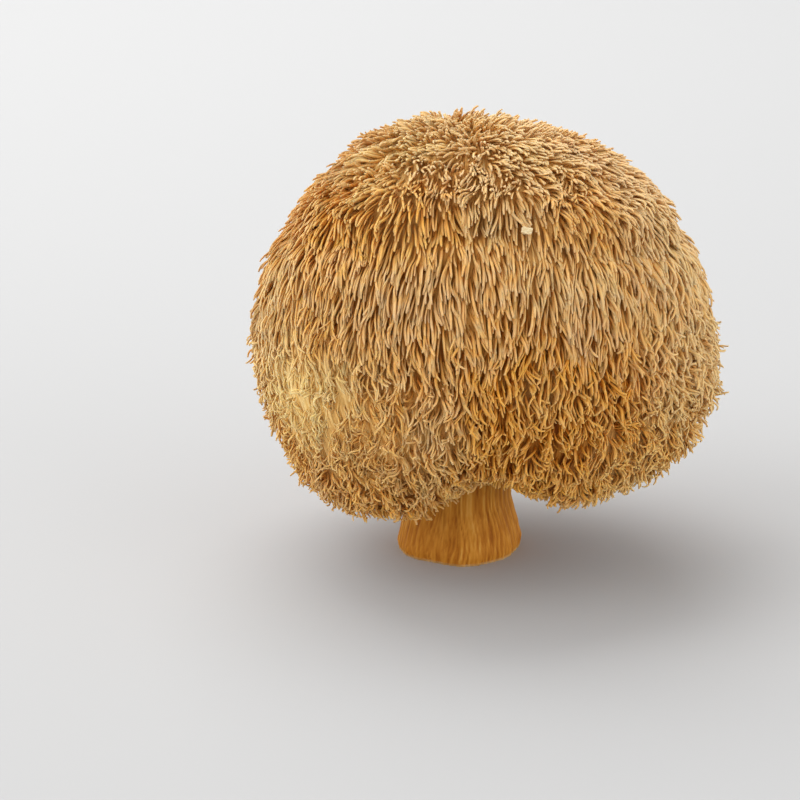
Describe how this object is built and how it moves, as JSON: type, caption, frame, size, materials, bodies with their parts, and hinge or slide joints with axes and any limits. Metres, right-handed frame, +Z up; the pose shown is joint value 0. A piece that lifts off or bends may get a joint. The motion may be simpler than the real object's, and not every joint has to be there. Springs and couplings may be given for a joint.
{
  "type": "lions mane mushroom",
  "caption": "Dried lion's mane mushroom: a round head of hanging teeth, notched at the front, on a short stem cut off flat.",
  "frame": {"origin": "centre of the flat cut under the stem, which the mushroom rests on", "axes": "+Z up along the stem, out of the cut; +X to the side where the head swells furthest; -Y to the notch between the two front lobes"},
  "size_m": [0.0867, 0.082, 0.0809],
  "materials": {
    "teeth": "matte",
    "stem_flesh": "matte"
  },
  "bodies": {
    "root": {"head": "teeth", "stem": "stem_flesh"}
  },
  "joints": []
}
